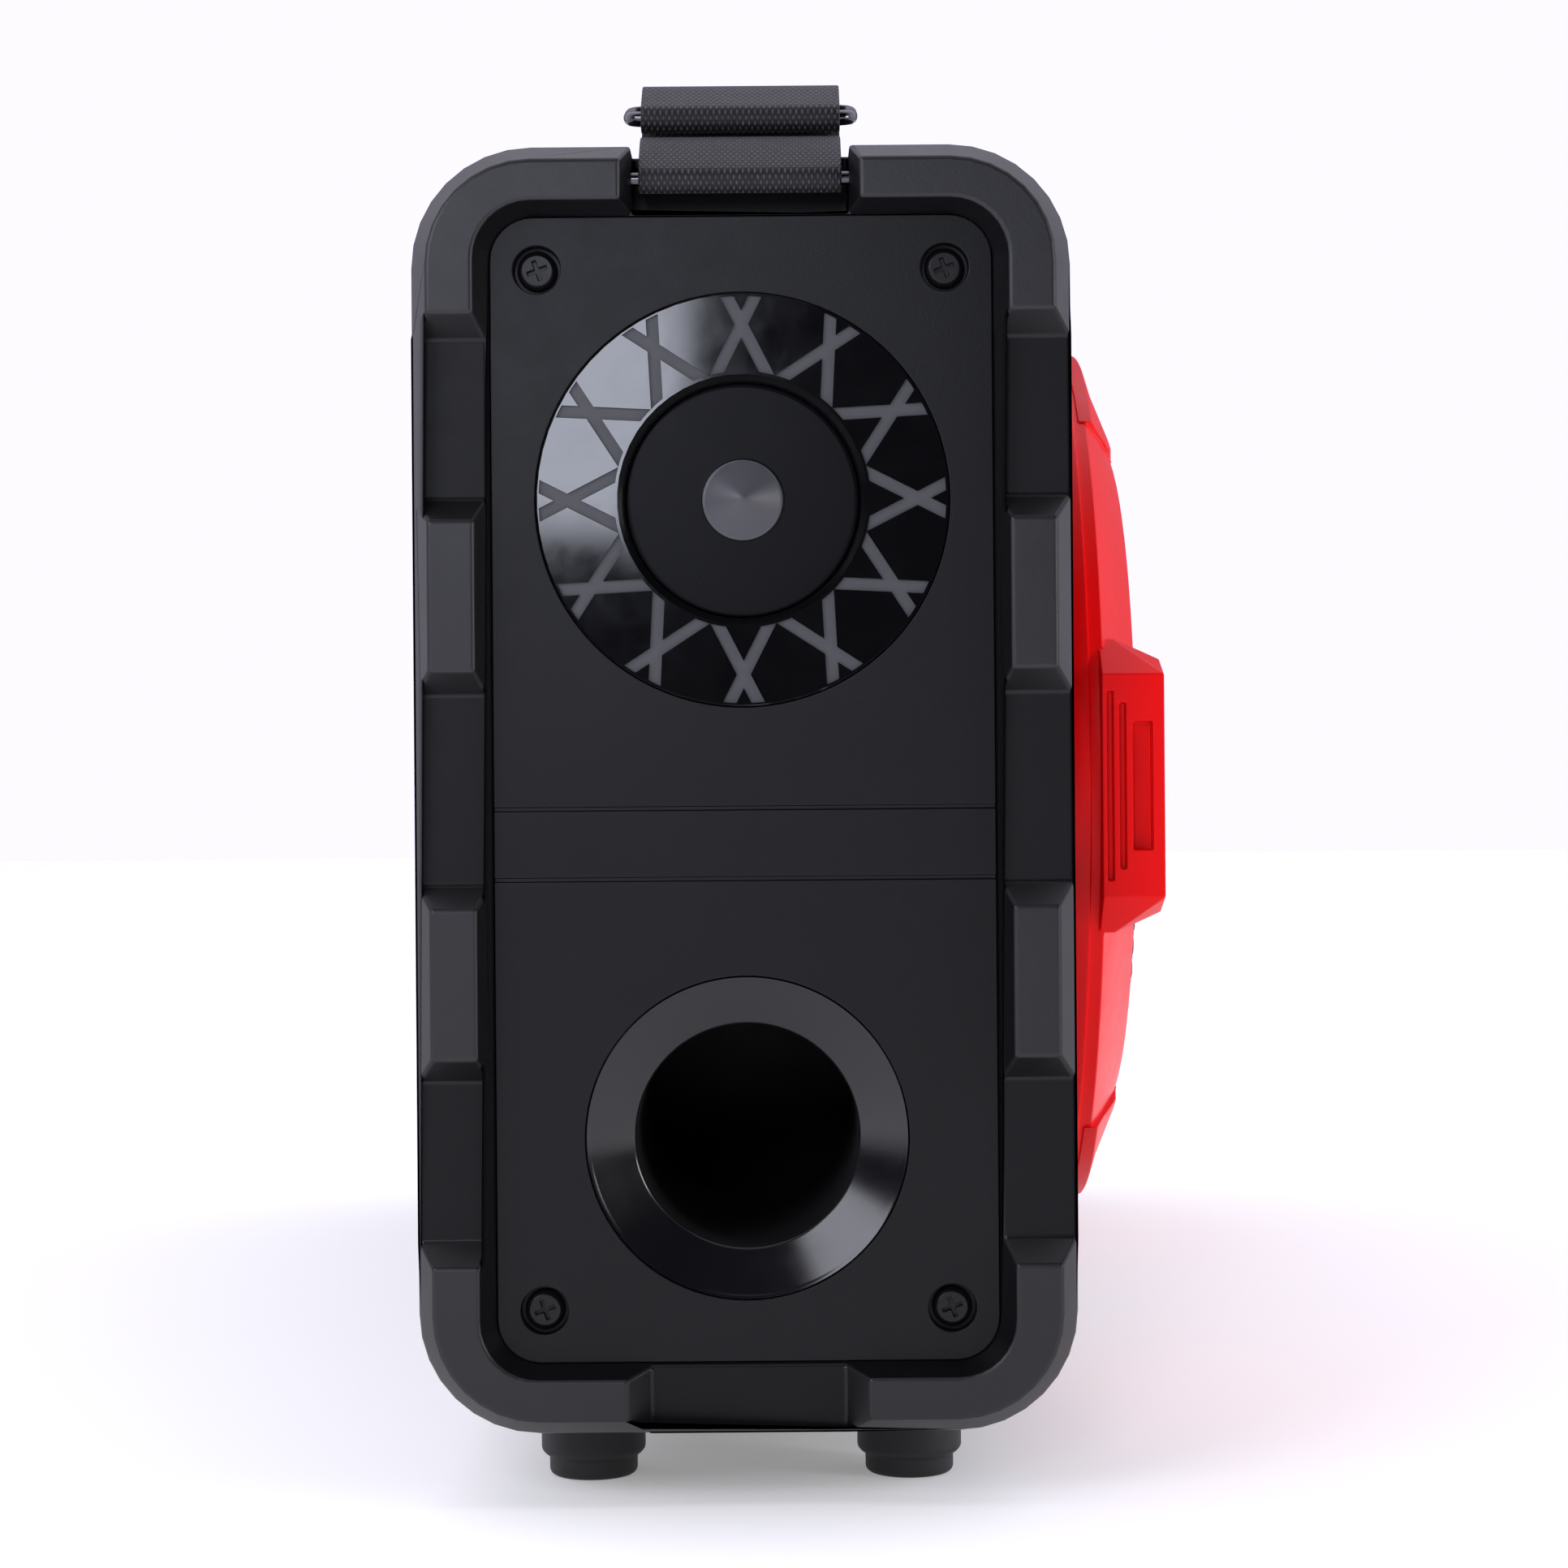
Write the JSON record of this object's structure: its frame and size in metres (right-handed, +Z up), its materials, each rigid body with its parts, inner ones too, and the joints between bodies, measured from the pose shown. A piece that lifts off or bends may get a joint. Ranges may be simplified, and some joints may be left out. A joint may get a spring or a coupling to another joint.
{
  "type": "portable loudspeaker",
  "caption": "Portable loudspeaker: bumper end caps with passive radiator and bass port, front woofers in red rings, centre console, webbing carry strap, rubber feet.",
  "frame": {"origin": "on the floor, under the middle of the overall bounding box", "axes": "+Z up, +X along the length to the right end seen from the front, -Y out of the woofers"},
  "size_m": [0.64, 0.189, 0.3819],
  "materials": {
    "abs_black": "smooth moulded",
    "abs_textured": "fine spark texture",
    "screw_black": "black zinc",
    "foot_rubber": "satin",
    "gloss_black": "polished",
    "inner_plastic": "matt",
    "surround_rubber": "satin",
    "satin_black": "satin",
    "red_plastic": "gloss",
    "grille_metal": "powder coat",
    "basket_steel": "satin",
    "magnet_steel": "zinc plate",
    "spider_cloth": "resin-dipped cloth",
    "cone_paper": "matt",
    "coil_brass": "enamelled wire",
    "bright_steel": "nickel plate",
    "window": "smoked clear",
    "board": "solder mask",
    "button_plastic": "satin",
    "socket_plastic": "matt",
    "heat_sink": "extruded",
    "battery_case": "shrink sleeve",
    "chrome": "polished",
    "webbing": "woven nylon",
    "lead_rubber": "matt"
  },
  "bodies": {
    "cabinet": {"rear_shell": "abs_black", "front_shell": "abs_black", "end_cap_left": "abs_textured", "end_cap_right": "abs_textured", "end_panel_left": "abs_textured", "end_panel_right": "abs_textured", "cap_screws": "screw_black", "case_screws": "screw_black", "feet": "foot_rubber", "radiator_rings": "gloss_black", "port_flares": "gloss_black", "port_tubes": "gloss_black", "console": "gloss_black", "radiator_frames": "inner_plastic", "radiator_surrounds": "surround_rubber", "cone_surrounds": "surround_rubber", "woofer_ring_left": "red_plastic", "woofer_ring_right": "red_plastic", "grilles": "grille_metal", "baskets": "basket_steel", "magnets": "magnet_steel", "spiders": "spider_cloth", "woofer_screws": "bright_steel", "encoder": "bright_steel", "usb_socket": "bright_steel", "display_window": "window", "control_board": "board", "amp_board": "board", "power_supply": "board", "jack_sockets": "socket_plastic", "mains_inlet": "socket_plastic", "switch_frame": "socket_plastic", "rear_plate": "socket_plastic", "heat_sink": "heat_sink", "battery": "battery_case", "anchor_pins": "chrome", "speaker_leads": "lead_rubber"},
    "radiator_left": {"radiator_plate_left": "satin_black"},
    "radiator_right": {"radiator_plate_right": "satin_black"},
    "woofer_left": {"cone_left": "cone_paper", "dust_cap_left": "cone_paper", "voice_coil_left": "coil_brass"},
    "woofer_right": {"cone_right": "cone_paper", "dust_cap_right": "cone_paper", "voice_coil_right": "coil_brass"},
    "volume": {"volume_knob": "red_plastic", "knob_shaft": "bright_steel"},
    "button_back": {"button_back": "button_plastic"},
    "button_play": {"button_play": "button_plastic"},
    "button_next": {"button_next": "button_plastic"},
    "button_mode": {"button_mode": "button_plastic"},
    "button_light": {"button_light": "button_plastic"},
    "power_rocker": {"power_rocker": "red_plastic"},
    "strap_anchor_left": {"strap_loop_left": "webbing", "strap_ring_left": "chrome", "strap_end_left": "webbing"},
    "strap_anchor_right": {"strap_loop_right": "webbing", "strap_ring_right": "chrome", "strap_end_right": "webbing"},
    "strap": {"strap_web": "webbing"}
  },
  "joints": [
    {"name": "radiator_left_travel", "type": "slide", "parent": "cabinet", "child": "radiator_left", "axis": [-1, 0, 0], "range_m": [-0.003, 0.003], "stiffness_N_per_m": 1200},
    {"name": "woofer_left_travel", "type": "slide", "parent": "cabinet", "child": "woofer_left", "axis": [0, -1, 0], "range_m": [-0.005, 0.005], "stiffness_N_per_m": 1800},
    {"name": "radiator_right_travel", "type": "slide", "parent": "cabinet", "child": "radiator_right", "axis": [1, 0, 0], "range_m": [-0.003, 0.003], "stiffness_N_per_m": 1200},
    {"name": "woofer_right_travel", "type": "slide", "parent": "cabinet", "child": "woofer_right", "axis": [0, -1, 0], "range_m": [-0.005, 0.005], "stiffness_N_per_m": 1800},
    {"name": "volume_turn", "type": "hinge", "parent": "cabinet", "child": "volume", "pos_m": [0, -0.079, 0.2105], "axis": [0, -1, 0], "continuous": true},
    {"name": "back_press", "type": "slide", "parent": "cabinet", "child": "button_back", "axis": [0, 1, 0], "range_m": [0, 0.0014], "stiffness_N_per_m": 900, "springref_m": -0.0004},
    {"name": "play_press", "type": "slide", "parent": "cabinet", "child": "button_play", "axis": [0, 1, 0], "range_m": [0, 0.0014], "stiffness_N_per_m": 900, "springref_m": -0.0004},
    {"name": "next_press", "type": "slide", "parent": "cabinet", "child": "button_next", "axis": [0, 1, 0], "range_m": [0, 0.0014], "stiffness_N_per_m": 900, "springref_m": -0.0004},
    {"name": "mode_press", "type": "slide", "parent": "cabinet", "child": "button_mode", "axis": [0, 1, 0], "range_m": [0, 0.0014], "stiffness_N_per_m": 900, "springref_m": -0.0004},
    {"name": "light_press", "type": "slide", "parent": "cabinet", "child": "button_light", "axis": [0, 1, 0], "range_m": [0, 0.0014], "stiffness_N_per_m": 900, "springref_m": -0.0004},
    {"name": "power_rock", "type": "hinge", "parent": "cabinet", "child": "power_rocker", "pos_m": [0.01, 0.0887, 0.1575], "axis": [0, 0, 1], "range_deg": [0, 14]},
    {"name": "strap_lift", "type": "slide", "parent": "cabinet", "child": "strap", "axis": [0, 0, 1], "range_m": [0, 0.025]},
    {"name": "strap_swing_left", "type": "hinge", "parent": "cabinet", "child": "strap_anchor_left", "pos_m": [-0.31, 0.0125, 0.3297], "axis": [0, -1, 0], "range_deg": [0, 8]},
    {"name": "strap_swing_right", "type": "hinge", "parent": "cabinet", "child": "strap_anchor_right", "pos_m": [0.31, 0.0125, 0.3297], "axis": [0, 1, 0], "range_deg": [0, 8]}
  ],
  "couplings": [
    {"joint": "strap_swing_left", "follows": "strap_lift", "rad_per_m": 5.58},
    {"joint": "strap_swing_right", "follows": "strap_lift", "rad_per_m": 5.58}
  ]
}
